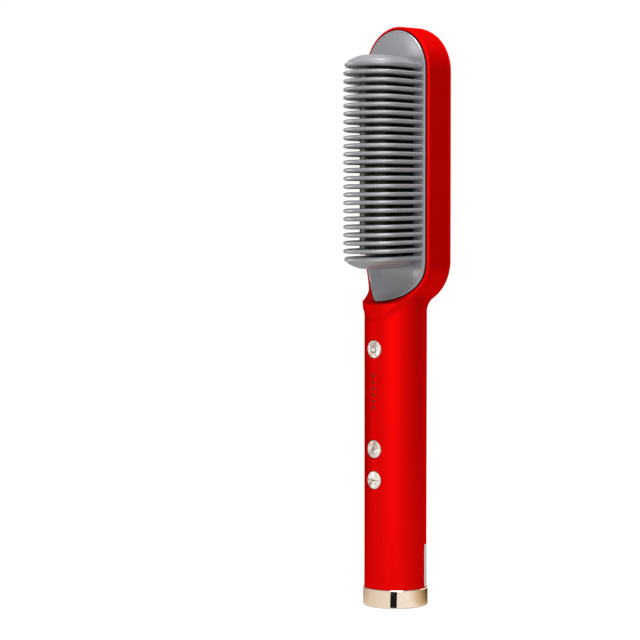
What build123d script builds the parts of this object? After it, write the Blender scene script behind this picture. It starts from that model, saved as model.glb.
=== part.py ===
from build123d import *
from math import cos, radians
import os

# Heated straightening comb. Origin at the centre of the foot ring's underside,
# +Z up the handle to the top of the head, -Y towards the teeth and the buttons.

# ---- shell (mm) ----
handle_radius = 15.7
wall = 2.0
bore_radius = handle_radius - wall
ring_height = 9.3
head_radius = 22.4            # half width of the head
head_wall = 2.8
head_low_z = 173.4            # centre of the head's lower round end
head_top_z = 267.6            # centre of the head's upper round end
head_back_y = 21.1
back_rounding = 8.0
neck_rounding = 10.0
rim_rounding = 1.1
lip_radius = 16.65            # the neck's flare ahead of the handle
lip_end_angle = 30.0          # where the flare starts to widen into the head
floor_z = 149.5               # partition between handle and head
seam_y = 7.5                  # parting plane on the head's sides
cavity_back_y = 16.0
pocket_floor_y = 18.0         # seat of the rear panel and its trim ring

# ---- comb guard: a face plane that runs down into a scoop ----
face_y = -0.5
scoop_radius = 15.0
scoop_y = face_y - scoop_radius
scoop_z = 168.0
rim_setback = 0.8             # how far the shell's rim lies behind the guard
guard_radius = 20.5
guard_low_z = 173.6
guard_gap = 0.7
guard_thickness = 2.3
shelf_y = face_y + guard_thickness + 0.1

# ---- teeth and heater ridge: arches across the head ----
tooth_count = 25              # the first and the last are closed hoods
tooth_pitch = 3.946
first_tooth_z = 174.78
tooth_fan = 0.17              # degrees that each tooth leans away from the next towards the middle
tooth_thickness = 2.3
crest_arch = (19.2, 16.8, 20.3, 27.7, 11.8)
tooth_layers = [(0.35, 0.0), (0.85, 0.5), (1.15, 1.7)]    # half thickness, and the arch's inset there
hood_layers = [(-1.15, 1.5), (-0.3, 0.6), (0.7, 0.6), (1.25, 1.5)]
dome_layers = [(0.7, (13.4, 16.0, 20.1, 27.1, 11.0)), (2.4, (11.4, 14.0, 18.6, 25.9, 9.0)),
               (3.65, (9.2, 11.6, 17.0, 24.0, 8.0)), (4.65, (6.8, 9.0, 15.0, 21.6, 6.5)),
               (5.1, (4.8, 6.0, 12.0, 18.2, 4.8))]
ridge_arch = (10.9, 9.8, 15.2, 20.0, 5.0)
ridge_gap = 0.45              # between the teeth's inner edges and the heater ridge
step_half_width = 13.9        # shallow step in the plate round the passage
step_depth = 1.2
last_tooth_z = first_tooth_z + (tooth_count - 1) * tooth_pitch
slot_low_z = first_tooth_z + tooth_thickness / 2
slot_top_z = last_tooth_z - tooth_thickness / 2
ridge_low_z = slot_low_z + ridge_gap
ridge_top_z = slot_top_z - ridge_gap

# ---- controls on the front of the handle ----
button_heights = {"power": 129.3, "plus": 79.4, "minus": 63.9}
cap_radius = 4.5
cap_hole_radius = 4.8
cap_face_y = -15.85
flange_radius = 5.6
flange_seat_radius = 6.0
flange_seat_y = -12.7
stem_radius = 1.6
stem_end_y = -10.5
plunger_radius = 1.7
led_heights = [116.05 - 3.2 * i for i in range(6)]
board_front_y = -6.0
board_back_y = -4.4
board_low_z = 31.0
board_top_z = 141.0
board_screw_places = [(x, z) for x in (-6.5, 6.5) for z in (37.5, 136.5)]
switch_front_y = -9.5

# ---- screws that clamp the guard and the heater in the head ----
guard_boss_places = [(x, z) for x in (-16.0, 16.0) for z in (186.0, 256.0)]
guard_boss_end_y = 13.0
flange_low_z = 177.0
flange_top_z = 266.0

# ---- foot: ring, cap and cord swivel ----
ring_radius = 16.3
ring_inner_radius = 11.6
spigot_radius = bore_radius - 0.2
spigot_top_z = 13.8
end_cap_radius = 11.5
end_cap_low_z = 0.8
end_cap_top_z = 3.0
cap_screw_x = 8.9
gland_radius = 5.0
gland_mouth_z = 0.7
cord_bore_radius = 2.7
cord_bore_length = 12.0
spindle_radius = 3.0
slip_ring_places = (15.0, 19.5)
slip_ring_height = 2.5
slip_ring_radius = 4.3
running_gap = 0.08
holder_low_z = 24.0
holder_top_z = 26.5

os.makedirs("parts", exist_ok=True)


def depth_plane(y):
    """Upright plane at depth y that faces -Y; its sketch axes are X and Z."""
    return Plane.XZ.offset(-y)


def stadium(half_width, low_z, top_z, mode=Mode.ADD):
    """Tall slot outline whose round ends are centred at low_z and top_z."""
    with Locations((0, (low_z + top_z) / 2)):
        SlotCenterToCenter(top_z - low_z, 2 * half_width, rotation=90, mode=mode)


def ahead_of_scoop(setback):
    """Side view of all that lies ahead of the face plane and scoop, moved back by setback."""
    plane_y = face_y + setback
    radius = scoop_radius + setback
    with BuildSketch(Plane.YZ) as region:
        with BuildLine():
            Line((plane_y, 310), (plane_y, scoop_z))
            RadiusArc((plane_y, scoop_z), (scoop_y, scoop_z - radius), radius)
            Polyline((scoop_y, scoop_z - radius), (-45, scoop_z - radius), (-45, 310), (plane_y, 310))
        make_face()
    return region.sketch


def arch(base_half_width, corner_x, corner_height, height, shoulder, inset=0.0):
    """Section across the head: two leaning sides, a crown arc and two round shoulders."""
    lean = (base_half_width - corner_x) / corner_height
    base_y = face_y + 12
    base_x = base_half_width + lean * 12
    corner_y = face_y - corner_height
    with BuildSketch(Plane.XY) as section:
        with BuildLine():
            Polyline((-corner_x, corner_y), (-base_x, base_y), (base_x, base_y), (corner_x, corner_y))
            ThreePointArc((corner_x, corner_y), (0, face_y - height), (-corner_x, corner_y))
        make_face()
        fillet(section.vertices().sort_by(Axis.Y)[:2], radius=shoulder)
        if inset:
            offset(amount=-inset, mode=Mode.REPLACE)
    return section.sketch


def finish(part, name):
    """Label one finished piece and write it to its own file."""
    part.label = name
    export_step(part, f"parts/{name}.step")


def wire(points, bend, thickness):
    """Round wire through the points, mirrored to make a pair side by side."""
    with BuildPart() as pair:
        with BuildLine():
            route = FilletPolyline(*points, radius=bend)
        with BuildSketch(Plane(origin=route @ 0, z_dir=route % 0)):
            Circle(thickness / 2)
        sweep()
        mirror(about=Plane.YZ)
    return pair.part


# ======== shell: one outer form, parted into a front and a rear moulding ========
with BuildPart() as outer_form:
    with BuildSketch(depth_plane(head_back_y)):
        stadium(head_radius, head_low_z, head_top_z)
    extrude(amount=head_back_y + 30)
    fillet(outer_form.faces().sort_by(Axis.Y)[-1].edges(), radius=back_rounding)
    with BuildSketch(Plane.XY.offset(ring_height)):
        Circle(handle_radius)
    extrude(amount=head_low_z - 12 - ring_height)
    neck_edges = outer_form.edges().filter_by(
        lambda e: e.center().Z > ring_height + 1
        and all(abs(Vector((e @ t).X, (e @ t).Y).length - handle_radius) < 0.01 for t in (0, 0.5, 1))
    )
    fillet(neck_edges, radius=neck_rounding)
    # round the front the neck's flare is cut back to a lip, which widens into the head's sides
    with BuildSketch(Plane.XY.offset(head_low_z - 33)):
        Rectangle(90, 60, align=(Align.CENTER, Align.MAX))
        Circle(lip_radius, mode=Mode.SUBTRACT)
        with BuildLine():
            lip_end = Vector(lip_radius, 0).rotate(Axis.Z, -lip_end_angle)
            side_x = lip_radius / cos(radians(lip_end_angle))
            Polyline(lip_end, (side_x, 0), (-side_x, 0), (-lip_end.X, lip_end.Y), close=True)
        make_face(mode=Mode.SUBTRACT)
    extrude(amount=20, mode=Mode.SUBTRACT)
    extrude(ahead_of_scoop(rim_setback), amount=60, both=True, mode=Mode.SUBTRACT)
    # the rim is rounded all the way round the opening and across the lip
    rim_y = face_y + rim_setback
    lip_z = scoop_z - scoop_radius - rim_setback
    rim_faces = outer_form.faces().filter_by(
        lambda f: abs(f.center().Y - rim_y) < 0.01
        or abs(f.center().Z - lip_z) < 0.01
        or (f.geom_type == GeomType.CYLINDER and abs(f.center().X) < 1 and lip_z < f.center().Z < scoop_z)
    )
    fillet(rim_faces.edges().filter_by(Axis.X, reverse=True), radius=rim_rounding)

with BuildPart() as shell_cavity:
    # bore of the handle, and above its floor a passage for the leads behind the guard
    with BuildSketch(Plane.XY.offset(ring_height - 1)):
        Circle(bore_radius)
    extrude(amount=floor_z - ring_height + 1)
    # a ledge left in the bore keeps the brush holder down on the ring's spigot
    with BuildSketch(Plane.XY.offset(holder_top_z + 0.2)):
        Circle(bore_radius)
        Circle(bore_radius - 1.3, mode=Mode.SUBTRACT)
    extrude(amount=1.5, mode=Mode.SUBTRACT)
    with BuildSketch(Plane.XY.offset(floor_z - 1)):
        Circle(bore_radius)
        with Locations((0, 1)):
            Rectangle(40, 40, align=(Align.CENTER, Align.MAX), mode=Mode.SUBTRACT)
    extrude(amount=12)
    with BuildSketch(depth_plane(cavity_back_y)):
        stadium(head_radius - head_wall, head_low_z, head_top_z)
    extrude(amount=cavity_back_y - shelf_y)
    # recess that takes the guard, ending on a narrow shelf
    with BuildSketch(depth_plane(shelf_y)):
        stadium(guard_radius + guard_gap, guard_low_z, head_top_z)
    extrude(amount=60)

with BuildSketch(Plane.YZ) as front_side:
    with BuildLine():
        seam = FilletPolyline((0, -5), (0, 146), (seam_y, 160), (seam_y, 310), radius=12)
        Polyline(seam @ 1, (-45, 310), (-45, -5), seam @ 0)
    make_face()

with BuildPart() as front_housing:
    add(outer_form)
    extrude(front_side.sketch, amount=60, both=True, mode=Mode.INTERSECT)
    add(shell_cavity, mode=Mode.SUBTRACT)
    # a flat seat behind each button hole stops the button's flange
    with BuildSketch(depth_plane(flange_seat_y + 0.5)):
        with Locations([(0, z) for z in button_heights.values()]):
            Circle(flange_seat_radius + 1)
    extrude(amount=1.7)
    with BuildSketch(depth_plane(board_front_y - 4)):
        with Locations([(0, z) for z in button_heights.values()]):
            Circle(flange_seat_radius)
    extrude(amount=board_front_y - 4 - flange_seat_y, mode=Mode.SUBTRACT)
    with BuildSketch(depth_plane(board_front_y - 4)):
        with Locations([(0, z) for z in button_heights.values()]):
            Circle(cap_hole_radius)
        with Locations([(0, z) for z in led_heights]):
            Circle(0.6)
    extrude(amount=10, mode=Mode.SUBTRACT)
    # posts that carry the control board
    with BuildSketch(depth_plane(board_front_y)):
        with Locations(board_screw_places):
            Circle(2.0)
    extrude(amount=7)
    with BuildSketch(depth_plane(board_front_y)):
        with Locations(board_screw_places):
            Circle(0.85)
    extrude(amount=5, mode=Mode.SUBTRACT)
finish(front_housing.part, "front_housing")

with BuildPart() as rear_housing:
    add(outer_form)
    extrude(front_side.sketch, amount=60, both=True, mode=Mode.SUBTRACT)
    add(shell_cavity, mode=Mode.SUBTRACT)
    # two long ribs press the heat shield and the heater against the guard
    rib_middle_z = (flange_low_z + flange_top_z + 13) / 2
    with BuildSketch(depth_plane(cavity_back_y + 0.5)):
        with Locations((-10, rib_middle_z), (10, rib_middle_z)):
            Rectangle(1.6, flange_top_z - flange_low_z - 15)
    extrude(amount=cavity_back_y + 0.5 - shelf_y - 4)
    with BuildSketch(depth_plane(cavity_back_y + 0.5)):
        with Locations(guard_boss_places):
            Circle(3.2)
    extrude(amount=cavity_back_y + 0.4 - guard_boss_end_y)
    # seat of the rear panel, with the screw heads sunk in its floor
    with BuildSketch(depth_plane(head_back_y + 1)):
        stadium(18.4, head_low_z, head_top_z)
    extrude(amount=head_back_y + 1 - pocket_floor_y, mode=Mode.SUBTRACT)
    with BuildSketch(depth_plane(pocket_floor_y)):
        with Locations(guard_boss_places):
            Circle(2.5)
    extrude(amount=2.6, mode=Mode.SUBTRACT)
    with BuildSketch(depth_plane(pocket_floor_y)):
        with Locations(guard_boss_places):
            Circle(1.45)
    extrude(amount=10, mode=Mode.SUBTRACT)
finish(rear_housing.part, "rear_housing")

# ======== back of the head: a domed panel framed by a bright trim ring ========
with BuildPart() as rear_trim_ring:
    add(outer_form)
    with BuildSketch(depth_plane(head_back_y + 1)):
        stadium(18.3, head_low_z, head_top_z)
        stadium(16.45, head_low_z + 2.8, head_top_z - 2.8, mode=Mode.SUBTRACT)
    extrude(amount=head_back_y + 1 - pocket_floor_y - 0.1, mode=Mode.INTERSECT)
    fillet(rear_trim_ring.faces().sort_by(Axis.Y)[-1].outer_wire().edges(), radius=0.3)
finish(rear_trim_ring.part, "rear_trim_ring")

with BuildPart() as rear_panel:
    add(outer_form)
    with BuildSketch(depth_plane(head_back_y + 1)):
        stadium(16.35, head_low_z + 2.8, head_top_z - 2.8)
    extrude(amount=head_back_y + 1 - pocket_floor_y - 0.1, mode=Mode.INTERSECT)
    with BuildSketch(depth_plane(pocket_floor_y)):
        stadium(14.3, head_low_z + 2.8, head_top_z - 2.8)
    extrude(amount=-1.8, mode=Mode.SUBTRACT)
finish(rear_panel.part, "rear_panel")

# ======== comb guard: one moulding of plate, arched teeth and two end hoods ========
with BuildPart() as tooth:
    # bullet-shaped section: full thickness almost up to the narrow crest, and so the feet end round
    with BuildSketch(Plane.XY):
        add(arch(*crest_arch))
    extrude(amount=tooth_layers[0][0], both=True)
    for side in (-1, 1):
        for low, high in zip(tooth_layers, tooth_layers[1:]):
            for height, inset in (low, high):
                with BuildSketch(Plane.XY.offset(side * height)):
                    add(arch(*crest_arch, inset=inset))
            loft(ruled=True)
    split(bisect_by=depth_plane(face_y + 2))

with BuildPart() as hood:
    # flat towards the teeth; on the other side a dome that is narrower than its feet
    for low, high in zip(hood_layers, hood_layers[1:]):
        for height, inset in (low, high):
            with BuildSketch(Plane.XY.offset(height)):
                add(arch(*crest_arch, inset=inset))
        loft(ruled=True)
    for low, high in zip(dome_layers, dome_layers[1:]):
        for height, shape in (low, high):
            with BuildSketch(Plane.XY.offset(height)):
                add(arch(*shape))
        loft(ruled=True)
    split(bisect_by=depth_plane(face_y + 2.8))

with BuildPart() as guard_pads:
    # thicker floor under the hollows at both ends
    with BuildSketch(depth_plane(face_y + guard_thickness + 2)):
        stadium(guard_radius - 1, guard_low_z, head_top_z)
        with Locations((0, (guard_low_z + head_top_z) / 2)):
            Rectangle(50, head_top_z - guard_low_z - 2, mode=Mode.SUBTRACT)
    extrude(amount=40)
    extrude(ahead_of_scoop(guard_thickness + 1.6), amount=60, both=True, mode=Mode.INTERSECT)
    extrude(ahead_of_scoop(0.5), amount=60, both=True, mode=Mode.SUBTRACT)

with BuildPart() as comb_guard:
    with BuildSketch(depth_plane(face_y + guard_thickness + 2)):
        stadium(guard_radius, guard_low_z, head_top_z)
    extrude(amount=40)
    extrude(ahead_of_scoop(guard_thickness), amount=60, both=True, mode=Mode.INTERSECT)
    extrude(ahead_of_scoop(0), amount=60, both=True, mode=Mode.SUBTRACT)
    front_faces = comb_guard.faces().filter_by(
        lambda f: abs(f.center().Y - face_y) < 0.01
        or (f.geom_type == GeomType.CYLINDER and abs(f.center().X) < 0.1 and f.center().Z < scoop_z - 5
            and abs(Vector(f.position_at(0.5, 0.5).Y - scoop_y, f.position_at(0.5, 0.5).Z - scoop_z).length
                    - scoop_radius) < 0.01)
    )
    chamfer(front_faces.edges().filter_by(Axis.X, reverse=True), length=0.4)
    add(guard_pads)
    # round hollow above the last hood: a sloping rim and a bowl inside it
    with BuildSketch(Plane.XY.offset(slot_top_z)):
        with BuildLine():
            bowl = ThreePointArc((0, face_y + 2.3), (7.2, face_y + 2.0), (14.0, face_y + 1.2))
            Polyline(bowl @ 1, (19.5, face_y), (19.5, face_y - 2), (0, face_y - 2), bowl @ 0)
        make_face()
    revolve(axis=Axis((0, 0, slot_top_z), (0, -1, 0)), revolution_arc=180, mode=Mode.SUBTRACT)
    # barrel-shaped hollow that runs down the scoop below the first hood
    hollow_axis_y = face_y + 1.6 - 15.6
    with BuildSketch(Plane.XY.offset(scoop_z + 1)) as hollow:
        with BuildLine():
            Polyline((-19.5, hollow_axis_y), (-19.5, hollow_axis_y + 13.7), (-10.5, hollow_axis_y + 15.6),
                     (10.5, hollow_axis_y + 15.6), (19.5, hollow_axis_y + 13.7), (19.5, hollow_axis_y),
                     close=True)
        make_face()
    revolve(axis=Axis((0, hollow_axis_y, scoop_z + 1), (-1, 0, 0)), revolution_arc=90, mode=Mode.SUBTRACT)
    extrude(hollow.sketch, amount=4, mode=Mode.SUBTRACT)
    # shallow step round the passage, then teeth and hoods, then the passage under all of them
    with BuildSketch(depth_plane(face_y + step_depth)):
        with Locations((0, (slot_low_z + slot_top_z) / 2)):
            Rectangle(2 * step_half_width, slot_top_z - slot_low_z)
    extrude(amount=5, mode=Mode.SUBTRACT)
    places = [Location((0, 0, first_tooth_z + k * tooth_pitch), (tooth_fan * ((tooth_count - 1) / 2 - k), 0, 0))
              for k in range(tooth_count)]
    with Locations(*places[1:-1]):
        add(tooth)
    with Locations(places[-1]):
        add(hood)
    add(mirror(hood.part, about=Plane.XY, mode=Mode.PRIVATE).moved(places[0]))
    with BuildSketch(Plane.XY.offset(slot_low_z)):
        add(arch(*ridge_arch, inset=-ridge_gap))
    extrude(amount=slot_top_z - slot_low_z, mode=Mode.SUBTRACT)
    # bosses for the screws that come in from the back
    with BuildSketch(depth_plane(guard_boss_end_y)):
        with Locations(guard_boss_places):
            Circle(2.7)
    extrude(amount=guard_boss_end_y - face_y - 1)
    with BuildSketch(depth_plane(guard_boss_end_y)):
        with Locations(guard_boss_places):
            Circle(1.2)
    extrude(amount=guard_boss_end_y - face_y - 3, mode=Mode.SUBTRACT)
finish(comb_guard.part, "comb_guard")

# ======== heater, built up inside a ridge that shows between the teeth ========
with BuildPart() as heater_ridge:
    with BuildSketch(Plane.XY.offset(ridge_low_z)):
        add(arch(*ridge_arch))
    extrude(amount=ridge_top_z - ridge_low_z)
    split(bisect_by=depth_plane(shelf_y + 2.4))
    # flanges that bear on the back of the guard
    with BuildSketch(depth_plane(shelf_y + 2.4)):
        with Locations((0, (flange_low_z + flange_top_z) / 2)):
            RectangleRounded(25.6, flange_top_z - flange_low_z, 2)
    extrude(amount=2.2)
    # deep pocket for the heating element; the solid crown above it spreads the heat
    with BuildSketch(Plane.XY.offset(ridge_low_z)) as pocket:
        with Locations((0, shelf_y + 6)):
            Rectangle(16.4, shelf_y + 6 + 15.5, align=(Align.CENTER, Align.MAX))
        fillet(pocket.vertices().sort_by(Axis.Y)[:2], radius=1.5)
    extrude(amount=ridge_top_z - ridge_low_z, mode=Mode.SUBTRACT)
finish(heater_ridge.part, "heater_ridge")

with BuildPart() as insulating_film:
    with BuildSketch(Plane.XY.offset(189)):
        with BuildLine():
            FilletPolyline((-7.55, -10.2), (-7.55, -15.25), (7.55, -15.25), (7.55, -10.2), radius=1.05)
        trace(line_width=0.3)
    extrude(amount=74)
finish(insulating_film.part, "insulating_film")

with BuildPart() as ptc_heater:
    with BuildSketch(Plane.XY.offset(190)):
        with Locations((0, -12.65)):
            RectangleRounded(14.6, 4.8, 0.9)
    extrude(amount=72)
    with BuildSketch(Plane.XY.offset(185.5)):
        with Locations((-5, -12.65), (5, -12.65)):
            Rectangle(3.6, 0.5)
    extrude(amount=5)
finish(ptc_heater.part, "ptc_heater")

with BuildPart() as clamp_plate:
    with BuildSketch(depth_plane(-8.6)):
        with Locations((0, 226)):
            RectangleRounded(14, 72, 1.5)
    extrude(amount=1.5)
finish(clamp_plate.part, "clamp_plate")

with BuildPart() as clamp_spring:
    with BuildSketch(Plane.YZ.offset(-6)):
        with BuildLine():
            FilletPolyline(*[(-8.1 if k % 2 else -3.4, 193 + 6 * k) for k in range(12)], radius=1.2)
        trace(line_width=0.5)
    extrude(amount=12)
finish(clamp_spring.part, "clamp_spring")

with BuildPart() as heat_shield:
    with BuildSketch(depth_plane(shelf_y + 3.9)):
        with Locations((0, 227.5)):
            RectangleRounded(24.6, 77, 2)
    extrude(amount=1.4)
    with BuildSketch(depth_plane(shelf_y + 3)):
        with Locations((0, 226)):
            RectangleRounded(12, 68, 1.5)
    extrude(amount=shelf_y + 3 + 2.9)
finish(heat_shield.part, "heat_shield")

with BuildPart() as thermal_fuse:
    with BuildSketch(Plane.YZ.offset(-5.3)):
        with Locations((-13.5, 181.5)):
            Circle(1.9)
    extrude(amount=10.6)
    fillet(thermal_fuse.edges().filter_by(GeomType.CIRCLE), radius=0.5)
finish(thermal_fuse.part, "thermal_fuse")

with BuildPart() as temperature_sensor:
    with BuildSketch(depth_plane(-11.6)):
        with Locations((0, 187.2)):
            Circle(1.3)
    extrude(amount=3.6)
    fillet(temperature_sensor.faces().sort_by(Axis.Y)[0].edges(), radius=1.0)
finish(temperature_sensor.part, "temperature_sensor")

# ======== control board and what is soldered to it ========
with BuildPart() as control_board:
    with BuildSketch(depth_plane(board_back_y)):
        with Locations((0, (board_low_z + board_top_z) / 2)):
            RectangleRounded(20, board_top_z - board_low_z, 1)
        with Locations(board_screw_places):
            Circle(1.1, mode=Mode.SUBTRACT)
    extrude(amount=board_back_y - board_front_y)
finish(control_board.part, "control_board")

with BuildPart() as tact_switches:
    with BuildSketch(depth_plane(board_front_y)):
        with Locations([(0, z) for z in button_heights.values()]):
            RectangleRounded(6, 6, 0.4)
    extrude(amount=board_front_y - switch_front_y)
    with BuildSketch(depth_plane(switch_front_y)):
        with Locations([(0, z) for z in button_heights.values()]):
            Circle(plunger_radius + running_gap)
    extrude(amount=-2.3, mode=Mode.SUBTRACT)
finish(tact_switches.part, "tact_switches")

with BuildPart() as led_indicators:
    with BuildSketch(depth_plane(board_front_y)):
        with Locations([(0, z) for z in led_heights]):
            Rectangle(1.25, 2.0)
    extrude(amount=1.1)
finish(led_indicators.part, "led_indicators")

with BuildPart() as light_guide:
    led_middle_z = (led_heights[0] + led_heights[-1]) / 2
    with BuildSketch(depth_plane(board_front_y)):
        with Locations((0, led_middle_z - 11.2), (0, led_middle_z + 11.2)):
            Rectangle(3, 2.2)
    extrude(amount=3)
    with BuildSketch(depth_plane(board_front_y - 1.4)):
        with Locations((0, led_middle_z)):
            Rectangle(3, 24.6)
    extrude(amount=1.6)
    with BuildSketch(depth_plane(board_front_y - 2)):
        with Locations([(0, z) for z in led_heights]):
            Circle(0.55)
    extrude(amount=handle_radius + board_front_y - 2.15)
finish(light_guide.part, "light_guide")

with BuildPart() as power_capacitor:
    with BuildSketch(depth_plane(board_back_y)):
        with Locations((0, 57)):
            RectangleRounded(6, 13, 0.8)
    extrude(amount=-10)
    fillet(power_capacitor.faces().sort_by(Axis.Y)[-1].edges(), radius=0.6)
finish(power_capacitor.part, "power_capacitor")

with BuildPart() as mains_fuse:
    with BuildSketch(Plane.XY.offset(70)):
        with Locations((0, board_back_y + 2.6)):
            Circle(2.6)
    extrude(amount=11)
    fillet(mains_fuse.edges().filter_by(GeomType.CIRCLE), radius=0.6)
finish(mains_fuse.part, "mains_fuse")

with BuildPart() as triac:
    with BuildSketch(depth_plane(board_back_y)):
        with Locations((0, 92)):
            Rectangle(10, 15)
        with Locations((0, 97)):
            Circle(1.8, mode=Mode.SUBTRACT)
    extrude(amount=-1.3)
    with BuildSketch(depth_plane(board_back_y)):
        with Locations((0, 89)):
            Rectangle(10, 9)
    extrude(amount=-4.4)
    chamfer(triac.faces().sort_by(Axis.Y)[-1].edges(), length=0.5)
finish(triac.part, "triac")

with BuildPart() as terminal_block:
    with BuildSketch(depth_plane(board_back_y)):
        with Locations((0, 44.5)):
            Rectangle(8.4, 7)
    extrude(amount=-8)
    chamfer(terminal_block.faces().sort_by(Axis.Y)[-1].edges().filter_by(Axis.X), length=1.5)
    with BuildSketch(depth_plane(board_back_y + 8)):
        with Locations((-2.2, 44.5), (2.2, 44.5)):
            Circle(1.2)
    extrude(amount=1.5, mode=Mode.SUBTRACT)
finish(terminal_block.part, "terminal_block")

with BuildPart() as board_screws:
    with BuildSketch(depth_plane(board_back_y)):
        with Locations(board_screw_places):
            Circle(1.9)
    extrude(amount=-1.3)
    with BuildSketch(depth_plane(board_back_y)):
        with Locations(board_screw_places):
            Circle(0.8)
    extrude(amount=6)
    with BuildSketch(depth_plane(board_back_y + 1.3)):
        with Locations(board_screw_places):
            Rectangle(2.2, 0.5)
            Rectangle(0.5, 2.2)
    extrude(amount=0.6, mode=Mode.SUBTRACT)
finish(board_screws.part, "board_screws")

with BuildPart() as guard_screws:
    with BuildSketch(depth_plane(pocket_floor_y - 0.8)):
        with Locations(guard_boss_places):
            Circle(2.3)
    extrude(amount=1.7)
    with BuildSketch(depth_plane(pocket_floor_y - 2)):
        with Locations(guard_boss_places):
            Circle(1.15)
    extrude(amount=11)
    with BuildSketch(depth_plane(pocket_floor_y - 0.8)):
        with Locations(guard_boss_places):
            Rectangle(2.6, 0.6)
            Rectangle(0.6, 2.6)
    extrude(amount=0.8, mode=Mode.SUBTRACT)
finish(guard_screws.part, "guard_screws")

# ======== wiring inside the shell ========
heater_leads = wire([(5.2, -12.1, 187.3), (5.2, -1, 184), (5.2, 9, 177), (5.2, 9, 160), (5.2, 6, 146),
                     (5.2, 2, 128), (5.2, board_back_y + 0.05, 128)], 3.5, 1.5)
finish(heater_leads, "heater_leads")
sensor_leads = wire([(0.6, -11.5, 187.2), (0.6, -1, 185), (0.6, 8.4, 177), (0.6, 8.4, 160), (0.6, 5, 147),
                     (0.6, 2, 134), (0.6, board_back_y + 0.05, 134)], 3.5, 0.8)
finish(sensor_leads, "sensor_leads")
mains_leads = wire([(6.5, 0, 28.1), (6.5, 0, 32), (2.2, 0, 37), (2.2, 0, 40.9)], 3, 1.2)
finish(mains_leads, "mains_leads")

# ======== push buttons: each cap is turned about its own axis and rides on a plunger ========
for name, height in button_heights.items():
    with BuildPart() as button:
        with BuildSketch(Plane.YZ):
            with BuildLine():
                crown = ThreePointArc((cap_face_y, height), (cap_face_y + 0.08, height + 2.2),
                                      (cap_face_y + 0.3, height + cap_radius - 0.3))
                Polyline(crown @ 1, (cap_face_y + 0.65, height + cap_radius),
                         (flange_seat_y + 0.1, height + cap_radius),
                         (flange_seat_y + 0.1, height + flange_radius),
                         (flange_seat_y + 1.0, height + flange_radius),
                         (flange_seat_y + 1.0, height + stem_radius),
                         (stem_end_y, height + stem_radius), (stem_end_y, height), crown @ 0)
            make_face()
        revolve(axis=Axis((0, 0, height), (0, 1, 0)))
    finish(button.part, f"{name}_button")

    with BuildPart() as plunger:
        with BuildSketch(depth_plane(stem_end_y + 2.6)):
            with Locations((0, height)):
                Circle(plunger_radius)
        extrude(amount=2.6)
        fillet(plunger.faces().sort_by(Axis.Y)[0].edges(), radius=0.2)
    finish(plunger.part, f"{name}_plunger")

# ======== foot: bright ring, black cap and the swivel that the cord comes out of ========
with BuildPart() as end_ring:
    with BuildSketch(Plane.XY):
        Circle(ring_radius)
    extrude(amount=ring_height - 0.1)
    fillet(end_ring.faces().sort_by(Axis.Z)[0].edges(), radius=1.0)
    chamfer(end_ring.faces().sort_by(Axis.Z)[-1].edges(), length=0.25)
    with BuildSketch(Plane.XY.offset(ring_height - 1)):
        Circle(spigot_radius)
    extrude(amount=spigot_top_z - ring_height + 1)
    with BuildSketch(Plane.XY):
        Circle(ring_inner_radius)
    extrude(amount=spigot_top_z, mode=Mode.SUBTRACT)
    # two posts for the screws of the end cap
    with BuildSketch(Plane.XY.offset(end_cap_top_z + 0.1)):
        with Locations((-cap_screw_x, 0), (cap_screw_x, 0)):
            Circle(2.4)
        with Locations((-cap_screw_x - 1.5, 0), (cap_screw_x + 1.5, 0)):
            Rectangle(3, 4)
    extrude(amount=8)
    with BuildSketch(Plane.XY.offset(end_cap_top_z)):
        with Locations((-cap_screw_x, 0), (cap_screw_x, 0)):
            Circle(1.05)
    extrude(amount=7, mode=Mode.SUBTRACT)
finish(end_ring.part, "end_ring")

with BuildPart() as end_cap:
    with BuildSketch(Plane.XY.offset(end_cap_low_z)):
        Circle(end_cap_radius)
        Circle(gland_radius + running_gap, mode=Mode.SUBTRACT)
    extrude(amount=end_cap_top_z - end_cap_low_z)
    with Locations(Plane(origin=(-cap_screw_x, 0, end_cap_low_z), z_dir=(0, 0, -1)),
                   Plane(origin=(cap_screw_x, 0, end_cap_low_z), z_dir=(0, 0, -1))):
        CounterSinkHole(radius=1.15, counter_sink_radius=2.0, counter_sink_angle=90)
finish(end_cap.part, "end_cap")

with BuildPart() as end_cap_screws:
    with BuildSketch(Plane.XZ):
        with BuildLine():
            Polyline((cap_screw_x, end_cap_low_z + 0.05), (cap_screw_x + 1.9, end_cap_low_z + 0.05),
                     (cap_screw_x + 0.95, end_cap_low_z + 1.0), (cap_screw_x + 0.95, 9.6),
                     (cap_screw_x, 9.6), close=True)
        make_face()
    revolve(axis=Axis((cap_screw_x, 0, 0), (0, 0, 1)))
    with BuildSketch(Plane.XY.offset(end_cap_low_z)):
        with Locations((cap_screw_x, 0)):
            Rectangle(2.0, 0.45)
            Rectangle(0.45, 2.0)
    extrude(amount=0.6, mode=Mode.SUBTRACT)
    mirror(about=Plane.YZ)
finish(end_cap_screws.part, "end_cap_screws")

with BuildPart() as swivel_gland:
    with BuildSketch(Plane.XZ):
        with BuildLine():
            Polyline((0, gland_mouth_z), (gland_radius - 0.4, gland_mouth_z), (gland_radius, gland_mouth_z + 0.4),
                     (gland_radius, end_cap_top_z + 0.2), (6.0, end_cap_top_z + 0.2), (6.0, 4.8), (4.6, 4.8),
                     (4.6, 13.0), (4.0, 13.6), (spindle_radius, 13.6), (spindle_radius, holder_top_z + 0.4),
                     (2.4, holder_top_z + 0.4), (2.4, holder_top_z + 1.2), (spindle_radius, holder_top_z + 1.2),
                     (spindle_radius, holder_top_z + 1.9), (0, holder_top_z + 1.9), close=True)
        make_face()
    revolve(axis=Axis.Z)
    with BuildSketch(Plane.XY.offset(gland_mouth_z)):
        Circle(cord_bore_radius)
    extrude(amount=cord_bore_length, mode=Mode.SUBTRACT)
finish(swivel_gland.part, "swivel_gland")

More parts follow.
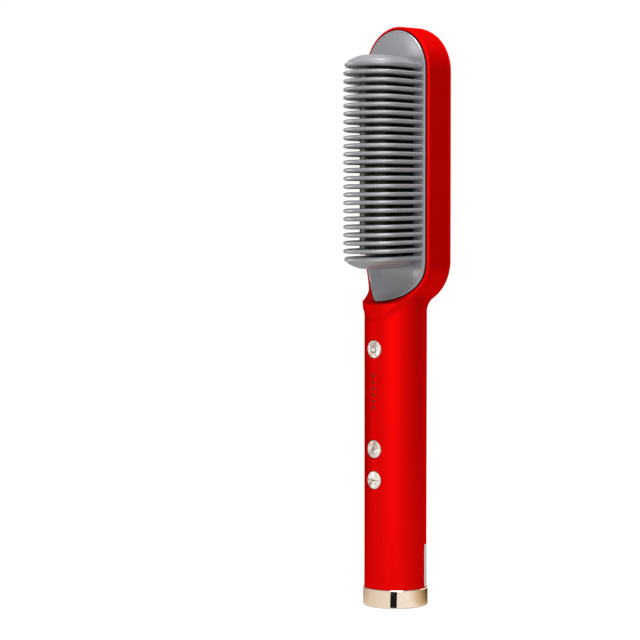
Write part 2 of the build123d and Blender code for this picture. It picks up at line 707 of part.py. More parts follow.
with BuildPart() as slip_rings:
    for low_z in slip_ring_places:
        with BuildSketch(Plane.XY.offset(low_z)):
            Circle(slip_ring_radius)
            Circle(spindle_radius + 0.03, mode=Mode.SUBTRACT)
        extrude(amount=slip_ring_height)
finish(slip_rings.part, "slip_rings")

with BuildPart() as gland_clip:
    with BuildSketch(Plane.XY.offset(holder_top_z + 0.45)):
        Circle(4.6)
        Circle(2.45, mode=Mode.SUBTRACT)
        with Locations((0, -4)):
            Rectangle(2.6, 6, mode=Mode.SUBTRACT)
    extrude(amount=0.7)
finish(gland_clip.part, "gland_clip")

with BuildPart() as brush_holder:
    # a cup that stands on the ring's spigot; its top is the swivel's upper bearing
    with BuildSketch(Plane.XY.offset(spigot_top_z + 0.1)):
        Circle(bore_radius - 0.3)
    extrude(amount=holder_top_z - spigot_top_z - 0.1)
    with BuildSketch(Plane.XY.offset(spigot_top_z + 0.1)):
        Circle(bore_radius - 1.5)
    extrude(amount=holder_low_z - spigot_top_z - 0.1, mode=Mode.SUBTRACT)
    with BuildSketch(Plane.XY.offset(spigot_top_z + 1)):
        with Locations((-8.4, 0), (8.4, 0)):
            Rectangle(3, 5)
    extrude(amount=holder_low_z - spigot_top_z)
    with BuildSketch(Plane.XY.offset(holder_low_z)):
        Circle(spindle_radius + running_gap)
        with Locations((-6.5, 0), (6.5, 0)):
            Rectangle(0.8, 2.8)
    extrude(amount=5, mode=Mode.SUBTRACT)
finish(brush_holder.part, "brush_holder")

with BuildPart() as brush_contacts:
    for side, ring_z in zip((1, -1), slip_ring_places):
        middle_z = ring_z + slip_ring_height / 2
        with BuildSketch(Plane.XZ.offset(-1.1)):
            with BuildLine():
                Polyline((side * 6.5, 28), (side * 6.5, middle_z + 2.6), (side * 4.85, middle_z),
                         (side * 5.5, middle_z - 1.7))
            trace(line_width=0.4)
        extrude(amount=2.2)
finish(brush_contacts.part, "brush_contacts")
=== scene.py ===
import math

import bpy
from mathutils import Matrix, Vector


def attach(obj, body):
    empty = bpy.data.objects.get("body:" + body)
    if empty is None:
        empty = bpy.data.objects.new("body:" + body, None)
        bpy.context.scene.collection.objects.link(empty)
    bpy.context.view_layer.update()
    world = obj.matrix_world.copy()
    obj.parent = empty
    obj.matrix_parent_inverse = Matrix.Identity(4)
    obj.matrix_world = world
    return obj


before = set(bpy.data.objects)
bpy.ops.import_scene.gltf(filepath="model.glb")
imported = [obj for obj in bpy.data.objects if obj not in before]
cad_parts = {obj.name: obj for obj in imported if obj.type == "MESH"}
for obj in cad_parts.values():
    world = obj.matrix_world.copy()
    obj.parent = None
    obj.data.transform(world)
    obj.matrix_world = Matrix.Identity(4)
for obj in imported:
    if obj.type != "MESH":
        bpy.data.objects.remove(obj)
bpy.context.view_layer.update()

scene = bpy.context.scene
scene.view_settings.view_transform = "Standard"

# ---- Camera ----
# A little above the middle of the comb and a little over a metre away, half way
# between the front, where the teeth point, and the right side.
def stand(azimuth, distance, height):
    """A point this far from the comb's axis, at an angle from the front towards the right."""
    return Vector((distance * math.sin(azimuth), -distance * math.cos(azimuth), height))


camera_azimuth = math.radians(44.609)
camera_distance = 1.149
camera_height = 0.1901
camera_down = math.radians(2.328)
camera_left = math.radians(1.894)
camera = bpy.data.objects.new("camera", bpy.data.cameras.new("camera"))
scene.collection.objects.link(camera)
camera.location = stand(camera_azimuth, camera_distance, camera_height)
camera.rotation_euler = (math.pi / 2 - camera_down, 0, camera_azimuth + camera_left)
camera.data.sensor_width = 36
camera.data.lens = 128.82
camera.data.clip_end = 50
scene.camera = camera


# ---- Floor and room ----
# A wide sheet of white paper in a white room that lights the comb a little from all sides.
# For the camera and for mirrors both glow up to white; the paper keeps the comb's shadow.
class Wire:
    """A value in a material: one socket, whose arithmetic adds Math nodes to its tree."""

    def __init__(self, tree, socket=None):
        self.tree = tree
        self.socket = socket

    def node(self, kind, feeds=None, output=0, **settings):
        """Add a node of this kind: its settings first, then a value or a wire for each socket."""
        made = self.tree.nodes.new("ShaderNode" + kind)
        for name, value in settings.items():
            if name == "stops":
                ramp = made.color_ramp
                while len(ramp.elements) < len(value):
                    ramp.elements.new(1.0)
                for stop, (position, colour) in zip(ramp.elements, value):
                    stop.position = position
                    stop.color = (*colour, 1)
            else:
                setattr(made, name, value)
        for name, value in (feeds or {}).items():
            socket = made.inputs[name]
            if isinstance(value, Wire):
                self.tree.links.new(value.socket, socket)
            elif hasattr(value, "__len__") and len(value) < len(socket.default_value):
                socket.default_value = (*value, 1)
            else:
                socket.default_value = value
        return Wire(self.tree, made.outputs[output] if made.outputs else None)

    def math(self, operation, first, second=0.0):
        return self.node("Math", {0: first, 1: second}, operation=operation)

    def __add__(self, other):
        return self.math("ADD", self, other)

    def __radd__(self, other):
        return self.math("ADD", other, self)

    def __sub__(self, other):
        return self.math("SUBTRACT", self, other)

    def __rsub__(self, other):
        return self.math("SUBTRACT", other, self)

    def __mul__(self, other):
        return self.math("MULTIPLY", self, other)

    def __rmul__(self, other):
        return self.math("MULTIPLY", other, self)

    def __truediv__(self, other):
        return self.math("DIVIDE", self, other)

    def __gt__(self, other):
        return self.math("GREATER_THAN", self, other)

    def __lt__(self, other):
        return self.math("LESS_THAN", self, other)


def open_tree(name):
    """A new material with an empty node tree, and the wire that its nodes start from."""
    material = bpy.data.materials.new(name)
    material.use_nodes = True
    material.node_tree.nodes.clear()
    return material, Wire(material.node_tree)


floor_paper, start = open_tree("floor_paper")
paper_glow, paper_mirrored = 0.85, 0.3  # what it adds for the camera and for mirrors
paper = start.node("BsdfDiffuse", {"Color": (0.45, 0.45, 0.45)})
camera_ray = start.node("LightPath", output="Is Camera Ray")
mirror_ray = start.node("LightPath", output="Is Glossy Ray")
glow = start.node("Emission", {"Strength": camera_ray * paper_glow + mirror_ray * paper_mirrored})
start.node("OutputMaterial", {"Surface": start.node("AddShader", {0: paper, 1: glow})})
bpy.ops.mesh.primitive_plane_add(size=30, location=(0, 0, -0.0001))
floor = bpy.context.object
floor.name = "floor"
floor.data.materials.append(floor_paper)

room_light, room_mirrored = 0.34, 0.15
world = bpy.data.worlds.new("white_room")
scene.world = world
world.use_nodes = True
world.node_tree.nodes.clear()
start = Wire(world.node_tree)
camera_ray = start.node("LightPath", output="Is Camera Ray")
mirror_ray = start.node("LightPath", output="Is Glossy Ray")
brightness = room_light + camera_ray * (1 - room_light) + mirror_ray * room_mirrored
room = start.node("Background", {"Color": (1, 1, 1), "Strength": brightness})
start.node("OutputWorld", {"Surface": room})

# ---- Lamps ----
# Four softboxes: a broad key a little left of the camera, a small low one far round to the
# left for the guard's plate, one above for the teeth and the hoods, and a weak one behind.
lamp_aim = Vector((0, 0, 0.15))
softboxes = (  # azimuth, height, distance, width, tall, power
    ("key_softbox", 33, 0.45, 1.4, 1.5, 1.2, 10.6),
    ("left_softbox", -72, 0.20, 1.3, 0.5, 0.4, 3.2),
    ("top_softbox", 60, 1.30, 0.33, 0.6, 0.6, 13.5),
    ("back_softbox", 190, 0.60, 1.4, 0.9, 0.9, 3.0),
)
for name, azimuth, height, distance, width, tall, power in softboxes:
    lamp = bpy.data.lights.new(name, "AREA")
    lamp.shape = "RECTANGLE"
    lamp.size, lamp.size_y, lamp.energy = width, tall, power
    softbox = bpy.data.objects.new(name, lamp)
    scene.collection.objects.link(softbox)
    softbox.location = stand(math.radians(azimuth), distance, height)
    softbox.rotation_euler = (lamp_aim - softbox.location).to_track_quat("-Z", "Y").to_euler()
    softbox.visible_camera = False


# ---- Mirror card ----
# A round card that lies about the foot for the bright ring to mirror. It is white towards the
# camera, and warmer and darker towards the back.
def only_mirrored(card):
    """Leave a card to mirrors: it doesn't show, and it neither lights nor shades the comb."""
    card.visible_camera = card.visible_diffuse = False
    card.visible_transmission = card.visible_shadow = False


card_inner, card_outer, card_height, card_sides = 0.0168, 0.085, 0.00005, 60
circle = [2 * math.pi * k / card_sides for k in range(card_sides)]
card_points = [(reach * math.sin(turn), reach * math.cos(turn), card_height)
               for reach in (card_inner, card_outer) for turn in circle]
card_faces = [(k, (k + 1) % card_sides, card_sides + (k + 1) % card_sides, card_sides + k)
              for k in range(card_sides)]
card_mesh = bpy.data.meshes.new("mirror_card")
card_mesh.from_pydata(card_points, [], card_faces)
mirror_card = bpy.data.objects.new("mirror_card", card_mesh)
scene.collection.objects.link(mirror_card)
card_paper, start = open_tree("mirror_card_paper")
place = start.node("TexCoord", output="Object")
place = start.node("VectorRotate", {"Vector": place, "Axis": (0, 0, 1), "Angle": -camera_azimuth},
                   rotation_type="AXIS_ANGLE")
across = start.node("SeparateXYZ", {"Vector": place}, output="X")
out = 0 - start.node("SeparateXYZ", {"Vector": place}, output="Y")
turn = start.math("ARCTAN2", across, out) * (0.5 / math.pi) + 0.5
tone = start.node("ValToRGB", {"Fac": turn}, output="Color", stops=[
    (0.15, (0.55, 0.42, 0.30)), (0.26, (0.78, 0.71, 0.61)), (0.42, (0.90, 0.86, 0.79)),
    (0.52, (0.98, 0.96, 0.93)), (0.62, (0.98, 0.96, 0.92)), (0.70, (0.72, 0.55, 0.34)),
    (0.79, (0.36, 0.23, 0.11)), (0.85, (0.12, 0.07, 0.03))])
start.node("OutputMaterial", {"Surface": start.node("Emission", {"Color": tone})})
card_mesh.materials.append(card_paper)
only_mirrored(mirror_card)

# ---- Black strip ----
# A strip of black card that lies on the mirror card and runs from the foot towards the
# camera, a little wider as it goes. The ring mirrors it as one upright dark bar.
strip_turns = (-9.0, 2.9)              # the ring's normals between which the strip is mirrored
strip_start, strip_length, strip_height = 0.0169, 0.07, 0.0001
strip_edges = []
for turn in map(math.radians, strip_turns):
    near = Vector((math.sin(turn), math.cos(turn))) * strip_start
    far = near + Vector((math.sin(2 * turn), math.cos(2 * turn))) * strip_length
    strip_edges.append((near, far))
(near_left, far_left), (near_right, far_right) = strip_edges
ahead = stand(camera_azimuth, 1, 0)
aside = stand(camera_azimuth + math.pi / 2, 1, 0)
lifted = Vector((0, 0, strip_height))
strip_points = [aside * corner.x + ahead * corner.y + lifted
                for corner in (near_left, near_right, far_right, far_left)]
strip_mesh = bpy.data.meshes.new("black_strip")
strip_mesh.from_pydata(strip_points, [], [(0, 1, 2, 3)])
black_strip = bpy.data.objects.new("black_strip", strip_mesh)
scene.collection.objects.link(black_strip)
strip_black, start = open_tree("black_strip")
start.node("OutputMaterial", {"Surface": start.node("BsdfDiffuse", {"Color": (0.01, 0.009, 0.008)})})
strip_mesh.materials.append(strip_black)
only_mirrored(black_strip)


# ---- Black flags ----
# Two frames of black cloth on either side of the comb. The low left one keeps the left
# softbox off the handle; the tall right one shades the right side of head and handle.
def sheet_on_edge(name, material, azimuth, distance, width, tall, low):
    """A flat sheet that faces the comb, with its lower edge at this height."""
    bpy.ops.mesh.primitive_plane_add(size=1, location=stand(azimuth, distance, low + tall / 2),
                                     rotation=(math.pi / 2, 0, azimuth))
    sheet = bpy.context.object
    sheet.name = name
    sheet.scale = (width, tall, 1)
    sheet.data.materials.append(material)
    return sheet


flag_cloth, start = open_tree("flag_cloth")
start.node("OutputMaterial", {"Surface": start.node("BsdfDiffuse", {"Color": (0.005, 0.005, 0.005)})})
for name, azimuth, distance, width, tall in (("left_flag", -79, 0.30, 0.24, 0.138),
                                             ("right_flag", 128, 0.55, 0.46, 0.80)):
    flag = sheet_on_edge(name, flag_cloth, math.radians(azimuth), distance, width, tall, low=0.02)
    flag.visible_camera = False

# ---- Buttons card ----
# A small white card that stands on the floor at the left, where the flat faces of the
# buttons mirror it.
card_white, start = open_tree("buttons_card_paper")
start.node("OutputMaterial", {"Surface": start.node("Emission", {"Color": (1, 1, 1), "Strength": 1.6})})
only_mirrored(sheet_on_edge("buttons_card", card_white, -camera_azimuth, distance=0.5,
                            width=0.3, tall=0.14, low=0))


# ---- Shell: front and rear housing ----
# Two injection-moulded halves of the handle and head, sprayed in one satin red
# and closed by the screws of the head and the ring at the foot.
def dress(node_names, material, edge=0.00008):
    """Give CAD nodes their finish, round their sharp edges a little and shade them smoothly."""
    for name in node_names:
        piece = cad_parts[name]
        piece.data.materials.clear()
        piece.data.materials.append(material)
        piece.data.polygons.foreach_set("use_smooth", [True] * len(piece.data.polygons))
        weld = piece.modifiers.new("weld", "WELD")
        weld.merge_threshold = 1e-6
        rounding = piece.modifiers.new("edge_rounding", "BEVEL")
        rounding.width = edge
        rounding.segments = 2
        rounding.limit_method = "ANGLE"
        rounding.angle_limit = math.radians(28)
        normals = piece.modifiers.new("normals", "WEIGHTED_NORMAL")
        normals.keep_sharp = True


def grain(start, size, detail=2.0, stretch=(1, 1, 1)):
    """Noise from 0 to 1 over the piece, with features of about this size in metres."""
    place = start.node("TexCoord", output="Object")
    place = start.node("Mapping", {"Vector": place, "Scale": tuple(s / size for s in stretch)})
    return start.node("TexNoise", {"Vector": place, "Scale": 1.0, "Detail": detail})


def bumped(start, height, depth):
    """Normal from a height wire, with this depth in metres between 0 and 1."""
    return start.node("Bump", {"Height": height, "Strength": 1.0, "Distance": depth})


def tinted(start, amount, low, high):
    """Colour that goes from low to high with this wire."""
    return start.node("Mix", {0: amount, 6: low, 7: high}, output=2, data_type="RGBA")


def along(start, axis):
    """How far along this axis a point of the piece lies, in metres."""
    return start.node("SeparateXYZ", {"Vector": start.node("TexCoord", output="Object")}, output=axis)


def close_tree(start, **sockets):
    """Principled shader and output; underscores in socket names stand for spaces."""
    feeds = {name.replace("_", " "): value for name, value in sockets.items()}
    start.node("OutputMaterial", {"Surface": start.node("BsdfPrincipled", feeds)})


red_spray, start = open_tree("red_spray")
mottle = grain(start, 0.02, 3)
orange_peel = grain(start, 0.0009, 1)
# A thin ring of dark print masks the edge of each indicator hole in the front.
lowest_hole, hole_pitch, last_hole, print_radius = 0.10005, 0.0032, 5, 0.00076
across = along(start, "X")
up = along(start, "Z") - lowest_hole
hole = start.math("MINIMUM", start.math("MAXIMUM", start.math("ROUND", up / hole_pitch)), last_hole)
off_centre = up - hole * hole_pitch
near_hole = across * across + off_centre * off_centre < print_radius ** 2
printed = near_hole * (along(start, "Y") < 0)
spray = tinted(start, mottle, (0.77, 0.002, 0.002), (0.80, 0.0025, 0.002))
close_tree(start, Base_Color=tinted(start, printed, spray, (0.004, 0.038, 0.033)),
           Metallic=0.50, Roughness=0.40 + mottle * 0.05, Normal=bumped(start, orange_peel, 0.000004),
           Specular_IOR_Level=0.0, Specular_Tint=(1, 0.03, 0.03))
dress(("front_housing", "rear_housing"), red_spray, edge=0.00005)

# ---- Back of the head: panel and trim ring ----
# A panel sprayed with the shell covers the screws. It sits in a plated frame, whose
# champagne-gold layer is polished like that of the foot ring.
panel_spray, start = open_tree("panel_spray")
mottle = grain(start, 0.015, 3)
orange_peel = grain(start, 0.0008, 1)
close_tree(start, Base_Color=tinted(start, mottle, (0.76, 0.002, 0.002), (0.80, 0.0025, 0.002)),
           Metallic=0.36, Roughness=0.34 + mottle * 0.05, Normal=bumped(start, orange_peel, 0.000003),
           Specular_IOR_Level=0.1, Specular_Tint=(1, 0.03, 0.03))
dress(("rear_panel",), panel_spray)

gold_plate, start = open_tree("champagne_plating")
haze = grain(start, 0.008, 2)
close_tree(start, Base_Color=tinted(start, haze, (0.87, 0.74, 0.62), (0.89, 0.77, 0.66)),
           Metallic=1.0, Roughness=0.04 + haze * 0.03)
dress(("rear_trim_ring", "end_ring"), gold_plate)

# ---- Comb guard ----
# One moulding of heat-resistant grey plastic with a fine spark-eroded surface:
# face plate, scoop, teeth and the two closed hoods.
grey_moulding, start = open_tree("grey_moulding")
mottle = grain(start, 0.012, 3)
fine = grain(start, 0.0005, 2)
# The plate's outline is a slot with round ends. Its rim is turned down and lightened by a painted
# highlight; its side wall is painted near-black, a painted shade of the gap beside the shell.
outline_radius, outline_low, outline_high = 0.0205, 0.1736, 0.2676
rim_width, painted_shade_skin = 0.0009, 0.00006
across, up = along(start, "X"), along(start, "Z")
beyond = start.math("MAXIMUM", outline_low - up) + start.math("MAXIMUM", up - outline_high)
inward = outline_radius - start.math("SQRT", across * across + beyond * beyond)
rim_and_painted_highlight = start.math("MAXIMUM", 1 - inward / rim_width)
side_wall_painted_shade = inward < painted_shade_skin
# Painted highlight: the rim's tone is lighter. Painted shade: the side wall is near-black.
plastic = tinted(start, mottle + rim_and_painted_highlight * 0.8, (0.31, 0.31, 0.33), (0.35, 0.35, 0.37))
close_tree(start, Base_Color=tinted(start, side_wall_painted_shade, plastic, (0.03, 0.03, 0.032)),
           Metallic=0.25, Roughness=0.33 + fine * 0.08, Normal=bumped(start, fine * 0.01 - rim_and_painted_highlight, 0.0003),
           Specular_IOR_Level=0.9)
dress(("comb_guard",), grey_moulding, edge=0.00012)

# ---- Heater ridge ----
# One extruded aluminium profile under a hard black coating. It fills the teeth from behind
# and carries the heat to the hair; its two flanges bear on the back of the guard.
black_coat, start = open_tree("black_coating")
drawn = grain(start, 0.0006, 2, stretch=(1, 1, 0.05))
close_tree(start, Base_Color=tinted(start, drawn, (0.004, 0.004, 0.005), (0.010, 0.010, 0.011)),
           Roughness=0.22 + drawn * 0.12, Normal=bumped(start, drawn, 0.000006), Specular_IOR_Level=0.12)
dress(("heater_ridge",), black_coat)

# ---- Heater stack ----
# Behind the ridge: a flat ceramic heater in an aluminium tube, wrapped in amber film and
# pressed into the ridge by a plate and a corrugated spring under a mica board.
rolled_aluminium, start = open_tree("rolled_aluminium")
rolling = grain(start, 0.0004, 2, stretch=(1, 1, 0.03))
close_tree(start, Base_Color=tinted(start, rolling, (0.66, 0.66, 0.68), (0.76, 0.76, 0.78)),
           Metallic=1.0, Roughness=0.28 + rolling * 0.15, Normal=bumped(start, rolling, 0.000004))
dress(("ptc_heater",), rolled_aluminium)

amber_film, start = open_tree("amber_film")
streaks = grain(start, 0.003, 2, stretch=(1, 1, 0.2))
close_tree(start, Base_Color=tinted(start, streaks, (0.50, 0.22, 0.03), (0.66, 0.34, 0.06)),
           Roughness=0.15 + streaks * 0.1, Coat_Weight=0.4)
dress(("insulating_film",), amber_film, edge=0.00003)

zinc_plate, start = open_tree("zinc_plated_steel")
bloom = grain(start, 0.0018, 4)
close_tree(start, Base_Color=tinted(start, bloom, (0.55, 0.56, 0.58), (0.70, 0.70, 0.69)),
           Metallic=1.0, Roughness=0.26 + bloom * 0.2)
dress(("clamp_plate", "clamp_spring", "gland_clip"), zinc_plate, edge=0.00005)

mica_board, start = open_tree("pressed_mica")
place = start.node("TexCoord", output="Object")
flakes = start.node("TexVoronoi", {"Vector": place, "Scale": 900.0}, output="Color")
flake = start.node("SeparateColor", {"Color": flakes})
close_tree(start, Base_Color=tinted(start, flake, (0.42, 0.33, 0.22), (0.66, 0.56, 0.42)),
           Roughness=0.35 + flake * 0.35, Normal=bumped(start, flake, 0.00001))
dress(("heat_shield",), mica_board)

# Between the heater's tabs lie a one-shot fuse in a glazed sleeve and a dipped sensor bead.
white_glaze, start = open_tree("white_glaze")
speckle = grain(start, 0.0007, 3)
close_tree(start, Base_Color=tinted(start, speckle > 0.7, (0.85, 0.83, 0.78), (0.70, 0.66, 0.58)),
           Roughness=0.12 + speckle * 0.1)
dress(("thermal_fuse", "mains_fuse"), white_glaze)

dipped_resin, start = open_tree("dipped_resin")
runs = grain(start, 0.0008, 1, stretch=(1, 1, 0.4))
close_tree(start, Base_Color=tinted(start, runs, (0.10, 0.10, 0.11), (0.15, 0.15, 0.16)),
           Roughness=0.2 + runs * 0.15, Normal=bumped(start, runs, 0.00004))
dress(("temperature_sensor",), dipped_resin)

# ---- Control board and what is soldered to it ----
# Glass-fibre board under green mask, with copper tracks that show through it. The switches
# and the indicators are on its front; the tall mains components are on its back.
green_mask, start = open_tree("green_solder_mask")
place = start.node("TexCoord", output="Object")
squares = start.node("TexVoronoi", {"Vector": place, "Scale": 420.0, "Randomness": 0.6},
                     output="Distance", distance="MANHATTAN", feature="DISTANCE_TO_EDGE")
track = squares > 0.09
weave = grain(start, 0.0006, 1)
close_tree(start, Base_Color=tinted(start, track, (0.02, 0.13, 0.05), (0.035, 0.25, 0.10)),
           Roughness=0.25 + weave * 0.15, Normal=bumped(start, track, 0.00003))
dress(("control_board",), green_mask)

black_epoxy, start = open_tree("black_epoxy")
spark = grain(start, 0.0003, 2)
close_tree(start, Base_Color=tinted(start, spark, (0.03, 0.03, 0.034), (0.055, 0.055, 0.06)),
           Roughness=0.4 + spark * 0.2, Normal=bumped(start, spark, 0.00001))
dress(("tact_switches", "triac"), black_epoxy)

yellow_box, start = open_tree("yellow_capacitor_box")
cloud = grain(start, 0.004, 2)
close_tree(start, Base_Color=tinted(start, cloud, (0.76, 0.56, 0.08), (0.84, 0.66, 0.13)),
           Roughness=0.25 + cloud * 0.12)
dress(("power_capacitor",), yellow_box)

green_terminal, start = open_tree("green_terminal_plastic")
flow = grain(start, 0.002, 2)
close_tree(start, Base_Color=tinted(start, flow, (0.04, 0.30, 0.10), (0.06, 0.38, 0.14)),
           Roughness=0.38 + flow * 0.12)
dress(("terminal_block",), green_terminal)

led_lens, start = open_tree("led_lens")
phosphor = grain(start, 0.0009, 1)
close_tree(start, Base_Color=tinted(start, phosphor, (0.80, 0.80, 0.68), (0.92, 0.92, 0.88)),
           Roughness=0.12 + phosphor * 0.1, Coat_Weight=0.5)
dress(("led_indicators",), led_lens, edge=0.00004)

# ---- Light guide ----
# One clear, dark-tinted moulding behind the handle's front wall. Its six ends fill the row
# of small holes and look like dark dots while the comb is off.
tinted_guide, start = open_tree("tinted_light_guide")
swirl = grain(start, 0.0012, 2)
close_tree(start, Base_Color=tinted(start, swirl, (0.003, 0.030, 0.026), (0.006, 0.045, 0.040)),
           Roughness=0.35 + swirl * 0.1, Specular_IOR_Level=0.15)
dress(("light_guide",), tinted_guide, edge=0.00005)

# ---- Wiring ----
# Stranded leads under soft insulation, in pairs: white silicone for the heater, a black
# sleeve for the sensor and blue for the mains.
for name, node_name, dark, light in (
        ("white_silicone", "heater_leads", (0.80, 0.79, 0.75), (0.88, 0.87, 0.84)),
        ("black_sleeve", "sensor_leads", (0.03, 0.03, 0.033), (0.055, 0.055, 0.06)),
        ("blue_insulation", "mains_leads", (0.03, 0.10, 0.40), (0.05, 0.15, 0.52))):
    insulation, start = open_tree(name)
    strands = grain(start, 0.0012, 2, stretch=(1, 1, 0.3))
    close_tree(start, Base_Color=tinted(start, strands, dark, light),
               Roughness=0.4 + strands * 0.2, Normal=bumped(start, strands, 0.00003))
    dress((node_name,), insulation, edge=0.00003)

# ---- Screws ----
# Zinc-plated steel with cross recesses: four in the board, four that close the head from
# the back, and two in the cap of the foot.
bright_screw, start = open_tree("screw_steel")
swept = grain(start, 0.0005, 2)
close_tree(start, Base_Color=tinted(start, swept, (0.50, 0.51, 0.53), (0.68, 0.68, 0.67)),
           Metallic=1.0, Roughness=0.24 + swept * 0.18, Normal=bumped(start, swept, 0.000005))
dress(("board_screws", "guard_screws", "end_cap_screws"), bright_screw)

# ---- Push buttons ----
# Three caps spun from champagne-silver aluminium, with fine turned rings and a sign in brown lacquer;
# their colour holds a painted sheen in fans round the middle, a painted rim highlight and painted shade
# on the side wall. Each is glued to a plunger that ends in its switch.
button_heights = {"power": 0.1293, "plus": 0.0794, "minus": 0.0639}
# How far each cap's painted sheen is turned, which sets where its dark sectors lie.
painted_sheen_turns = {"power": 1.9, "plus": 2.6, "minus": -2.6}
rim_radius, rim_highlight_band, turned_pitch = 0.0043, 0.0005, 0.00022
for name, height in button_heights.items():
    spun_metal, start = open_tree(name + "_spun_metal")
    across, up = along(start, "X"), along(start, "Z") - height
    radius = start.math("SQRT", across * across + up * up)
    angle = start.math("ARCTAN2", up, across)
    turned = start.math("SINE", radius * (2 * math.pi / turned_pitch)) * 0.5 + 0.5
    # Painted reflection: a sheen of two light and two dark sectors, and fans of light and dark round the
    # middle.
    painted_sheen = start.math("SINE", angle * 2 + painted_sheen_turns[name]) * 0.5 + 0.5
    round_place = start.node("CombineXYZ", {"X": across / radius, "Y": up / radius, "Z": height * 100})
    painted_reflection_fans = start.node("TexNoise", {"Vector": round_place, "Scale": 2.4, "Detail": 3.0})
    cloud = grain(start, 0.0014, 3)
    # Painted shade: the side wall's colour is darker; its roughness is the wall's own.
    side_wall_painted_shade = radius > rim_radius
    # Painted highlight: a band just inside the rim is lighter.
    painted_rim_highlight = radius > rim_radius - rim_highlight_band
    # The face's tone mixes these painted reflections, highlight and shade with the cloud, which is the
    # metal's own uneven tone.
    face_tone_and_painted_light = painted_sheen * 0.6 + painted_reflection_fans * 3.0 + cloud * 0.9 - 1.65 + painted_rim_highlight * 0.4
    face_tone_and_painted_light = face_tone_and_painted_light * (1 - side_wall_painted_shade * 0.6)
    close_tree(start, Base_Color=tinted(start, face_tone_and_painted_light, (0.42, 0.27, 0.18), (1.0, 0.97, 0.92)),
               Metallic=0.55, Roughness=0.24 + turned * 0.08 + cloud * 0.08 + side_wall_painted_shade * 0.3,
               Normal=bumped(start, turned, 0.000004))
    dress((name + "_button",), spun_metal, edge=0.00006)

brown_lacquer, start = open_tree("brown_lacquer")
cloud = grain(start, 0.0008, 2)
close_tree(start, Base_Color=tinted(start, cloud, (0.11, 0.065, 0.045), (0.22, 0.14, 0.11)),
           Roughness=0.3 + cloud * 0.2)
stroke_half_width = 0.00030
crown_y, crown_fall = -0.01585, 16.9    # the cap's face, and its fall with the radius squared
lacquer_sunk, lacquer_proud = 0.00004, 0.00002
arm = 0.0017
ring_gap = math.radians(38)             # half of the opening at the top of the power sign
ring_sweep = [math.pi / 2 + ring_gap + 2 * (math.pi - ring_gap) * k / 24 for k in range(25)]
signs = {
    "power": [[(arm * math.cos(turn), arm * math.sin(turn)) for turn in ring_sweep],
              [(0, 0.0003 + 0.0004 * k) for k in range(5)]],
    "plus": [[(arm * k / 4, 0) for k in range(-4, 5)],
             [(0, stroke_half_width + (arm - stroke_half_width) * k / 4) for k in range(5)],
             [(0, -stroke_half_width - (arm - stroke_half_width) * k / 4) for k in range(5)]],
    "minus": [[(arm * k / 4, 0) for k in range(-4, 5)]],
}
for name, strokes in signs.items():
    points, faces = [], []
    for stroke in strokes:
        first = len(points)
        last = len(stroke) - 1
        for k, (x, z) in enumerate(stroke):
            (from_x, from_z), (to_x, to_z) = stroke[max(k - 1, 0)], stroke[min(k + 1, last)]
            reach = stroke_half_width / math.hypot(to_x - from_x, to_z - from_z)
            for side in (-reach, reach):
                edge_x, edge_z = x - side * (to_z - from_z), z + side * (to_x - from_x)
                face_y = crown_y + crown_fall * (edge_x ** 2 + edge_z ** 2)
                points += [(edge_x, face_y + lacquer_sunk, edge_z + button_heights[name]),
                           (edge_x, face_y - lacquer_proud, edge_z + button_heights[name])]
        for k in range(first, first + 4 * last, 4):
            faces += [(k, k + 4, k + 6, k + 2), (k + 1, k + 3, k + 7, k + 5),
                      (k, k + 1, k + 5, k + 4), (k + 2, k + 6, k + 7, k + 3)]
        end = first + 4 * last
        faces += [(first, first + 2, first + 3, first + 1), (end, end + 1, end + 3, end + 2)]
    sign_mesh = bpy.data.meshes.new(name + "_sign")
    sign_mesh.from_pydata(points, [], faces)
    sign_mesh.materials.append(brown_lacquer)
    sign = bpy.data.objects.new(name + "_sign", sign_mesh)
    scene.collection.objects.link(sign)
    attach(sign, name + "_key")

plunger_plastic, start = open_tree("plunger_plastic")
flow = grain(start, 0.001, 2)
close_tree(start, Base_Color=tinted(start, flow, (0.70, 0.69, 0.64), (0.78, 0.77, 0.73)),
           Roughness=0.4 + flow * 0.12)
dress(("power_plunger", "plus_plunger", "minus_plunger"), plunger_plastic, edge=0.00005)

# ---- Foot: cap and cord swivel ----
# A black cap is screwed into the ring. The gland that takes the cord turns in it and in the
# ivory brush holder above; two brass rings on its spindle carry the mains to two brushes.
black_moulding, start = open_tree("black_moulding")
leather = start.node("TexVoronoi", {"Vector": start.node("TexCoord", output="Object"), "Scale": 2200.0},
                     output="Distance")
close_tree(start, Base_Color=tinted(start, leather, (0.022, 0.022, 0.023), (0.04, 0.04, 0.042)),
           Roughness=0.45 + leather * 0.2, Normal=bumped(start, leather, 0.00001))
dress(("end_cap", "swivel_gland"), black_moulding)

ivory_moulding, start = open_tree("ivory_moulding")
flow = grain(start, 0.003, 3)
close_tree(start, Base_Color=tinted(start, flow, (0.74, 0.70, 0.58), (0.81, 0.77, 0.67)),
           Roughness=0.42 + flow * 0.12)
dress(("brush_holder",), ivory_moulding)

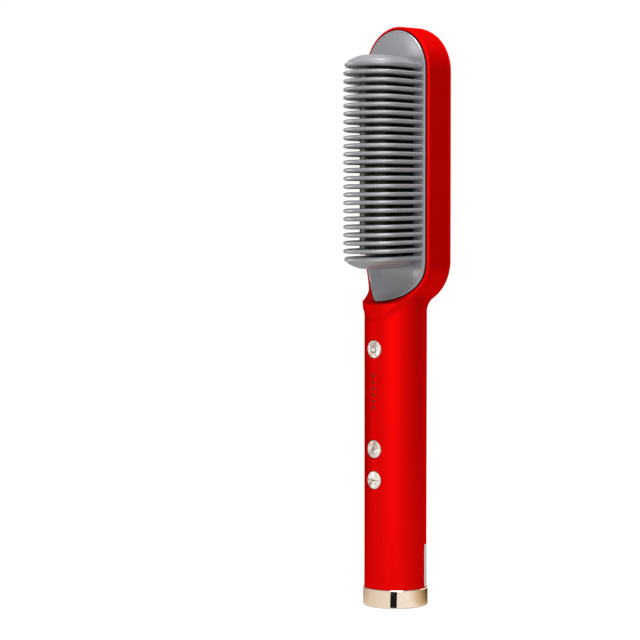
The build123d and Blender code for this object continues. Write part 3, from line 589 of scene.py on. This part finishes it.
rolled_brass, start = open_tree("rolled_brass")
turned = grain(start, 0.0003, 2, stretch=(0.1, 0.1, 1))
close_tree(start, Base_Color=tinted(start, turned, (0.70, 0.50, 0.20), (0.84, 0.66, 0.34)),
           Metallic=1.0, Roughness=0.22 + turned * 0.16)
dress(("slip_rings", "brush_contacts"), rolled_brass, edge=0.00004)

# ---- Blank label ----
# A white film label with round corners, stuck round the back of the handle just above the
# ring. Nothing is printed on it.
label_low_z, label_high_z = 0.0097, 0.0312
label_half_turn = math.radians(68)
label_corner = 0.0012
shell_radius = 0.0157
label_skin = (0.00002, 0.00013)        # how far its two faces lie above the shell
corner_turns = [label_corner * step / shell_radius for step in (0, 0.04, 0.15, 0.35, 0.65, 1)]
turns = [-label_half_turn + turn for turn in corner_turns]
turns += [label_half_turn * (k / 12 - 1) for k in range(1, 24)]
turns += [label_half_turn - turn for turn in reversed(corner_turns)]
points, faces = [], []
for turn in turns:
    inward = label_corner - min(label_corner, (label_half_turn - abs(turn)) * shell_radius)
    cut = label_corner - math.sqrt(max(0, label_corner ** 2 - inward ** 2))
    for z in (label_low_z + cut, label_high_z - cut):
        for skin in label_skin:
            reach = shell_radius + skin
            points.append((reach * math.sin(turn), reach * math.cos(turn), z))
for k in range(len(turns) - 1):
    a, b = 4 * k, 4 * k + 4             # low inner, low outer, high inner, high outer
    faces += [(a + 1, a + 3, b + 3, b + 1), (a, b, b + 2, a + 2),
              (a, a + 1, b + 1, b), (a + 2, b + 2, b + 3, a + 3)]
last = 4 * (len(turns) - 1)
faces += [(0, 2, 3, 1), (last, last + 1, last + 3, last + 2)]
label_mesh = bpy.data.meshes.new("blank_label")
label_mesh.from_pydata(points, [], faces)
label_mesh.validate()
blank_label = bpy.data.objects.new("blank_label", label_mesh)
scene.collection.objects.link(blank_label)
white_film, start = open_tree("white_film")
fibre = grain(start, 0.0009, 3)
close_tree(start, Base_Color=tinted(start, fibre, (0.80, 0.84, 0.87), (0.86, 0.89, 0.91)),
           Roughness=0.35 + fibre * 0.15, Normal=bumped(start, fibre, 0.000004))
label_mesh.materials.append(white_film)
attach(blank_label, "handle")
